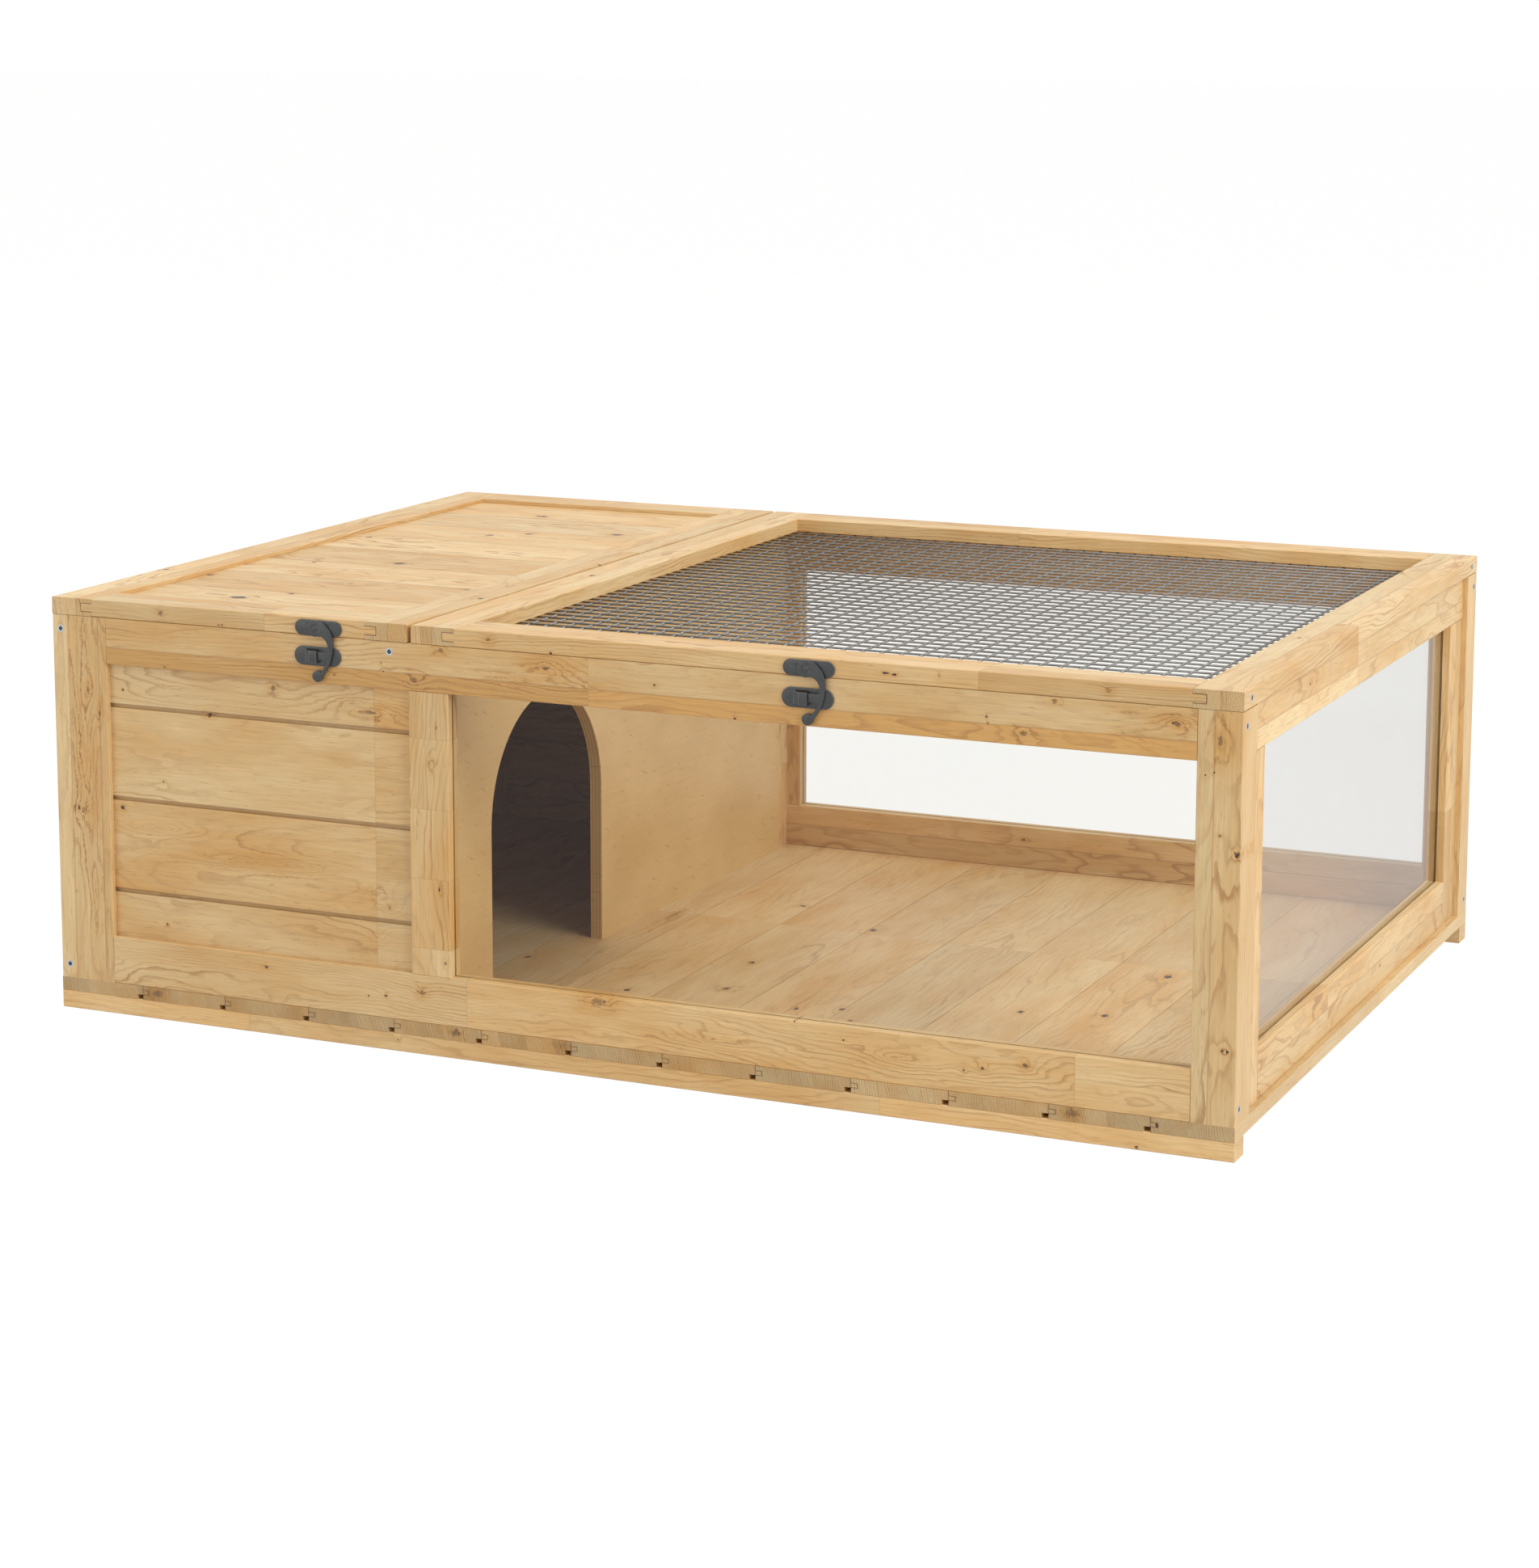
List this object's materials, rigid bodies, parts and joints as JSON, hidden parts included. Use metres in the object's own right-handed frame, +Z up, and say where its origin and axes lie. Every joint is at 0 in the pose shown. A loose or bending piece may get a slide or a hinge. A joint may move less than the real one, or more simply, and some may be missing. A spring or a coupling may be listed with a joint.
{
  "type": "tortoise house",
  "caption": "Low timber tortoise house: a boarded sleeping bay with an arched doorway into a windowed run, under a boarded lid and a mesh lid, each hinged and hooked.",
  "frame": {"origin": "middle of the underside, under the centre of the whole object's box", "axes": "+X to the right seen from the front, along the length; +Y to the back; +Z up"},
  "size_m": [0.95, 0.674, 0.3253],
  "materials": {
    "frame_timber": "planed, finger-jointed fir with eased edges",
    "lid_timber": "planed, edge-laminated fir with eased edges",
    "boards": "planed tongue-and-groove fir boards",
    "floor_timber": "planed tongue-and-groove fir boards, end grain showing at front and back",
    "partition_panel": "smooth birch plywood, its plies showing at the doorway",
    "clear_pane": "clear acrylic sheet",
    "net_wire": "galvanised welded wire",
    "hinge_steel": "zinc-plated steel",
    "latch_steel": "dark grey enamelled steel",
    "screw_zinc": "bright zinc-plated steel"
  },
  "bodies": {
    "case": {"front_left_post": "frame_timber", "front_mid_post": "frame_timber", "front_right_post": "frame_timber", "front_top_rail": "frame_timber", "front_bottom_rail": "frame_timber", "back_left_post": "frame_timber", "back_mid_post": "frame_timber", "back_right_post": "frame_timber", "back_top_rail": "frame_timber", "back_bottom_rail": "frame_timber", "right_front_stile": "frame_timber", "right_rear_stile": "frame_timber", "right_top_rail": "frame_timber", "right_bottom_rail": "frame_timber", "left_front_stile": "frame_timber", "left_rear_stile": "frame_timber", "left_top_rail": "frame_timber", "left_bottom_rail": "frame_timber", "cross_rail": "frame_timber", "partition_batten": "frame_timber", "front_runner": "frame_timber", "rear_runner": "frame_timber", "front_siding": "boards", "back_siding": "boards", "left_siding": "boards", "floor_boards": "floor_timber", "partition": "partition_panel", "front_pane": "clear_pane", "back_pane": "clear_pane", "right_pane": "clear_pane", "roof_hinge_case_leaves": "hinge_steel", "roof_hinge_pins": "hinge_steel", "mesh_hinge_case_leaves": "hinge_steel", "mesh_hinge_pins": "hinge_steel", "roof_latch_keeper": "latch_steel", "mesh_latch_keeper": "latch_steel", "case_screws": "screw_zinc"},
    "roof_lid": {"roof_left_stile": "lid_timber", "roof_right_stile": "lid_timber", "roof_front_rail": "lid_timber", "roof_back_rail": "lid_timber", "roof_hinge_lid_leaves": "hinge_steel", "roof_lid_screws": "screw_zinc", "roof_latch_plate": "latch_steel", "roof_latch_rivet": "latch_steel", "roof_boards": "boards"},
    "roof_hook": {"roof_latch_hook": "latch_steel"},
    "mesh_lid": {"mesh_left_stile": "lid_timber", "mesh_right_stile": "lid_timber", "mesh_front_rail": "lid_timber", "mesh_back_rail": "lid_timber", "mesh_hinge_lid_leaves": "hinge_steel", "mesh_lid_screws": "screw_zinc", "mesh_latch_plate": "latch_steel", "mesh_latch_rivet": "latch_steel", "wire_net": "net_wire"},
    "mesh_hook": {"mesh_latch_hook": "latch_steel"}
  },
  "joints": [
    {"name": "roof_lid_hinge", "type": "hinge", "parent": "case", "child": "roof_lid", "pos_m": [-0.31895, 0.33445, 0.31175], "axis": [-1, 0, 0], "range_deg": [0, 180]},
    {"name": "mesh_lid_hinge", "type": "hinge", "parent": "case", "child": "mesh_lid", "pos_m": [0.1577, 0.33445, 0.31175], "axis": [-1, 0, 0], "range_deg": [0, 180]},
    {"name": "roof_hook_pivot", "type": "hinge", "parent": "roof_lid", "child": "roof_hook", "pos_m": [-0.2395, -0.33345, 0.3175], "axis": [0, -1, 0], "range_deg": [0, 110]},
    {"name": "mesh_hook_pivot", "type": "hinge", "parent": "mesh_lid", "child": "mesh_hook", "pos_m": [0.1577, -0.33345, 0.3175], "axis": [0, -1, 0], "range_deg": [0, 110]}
  ]
}
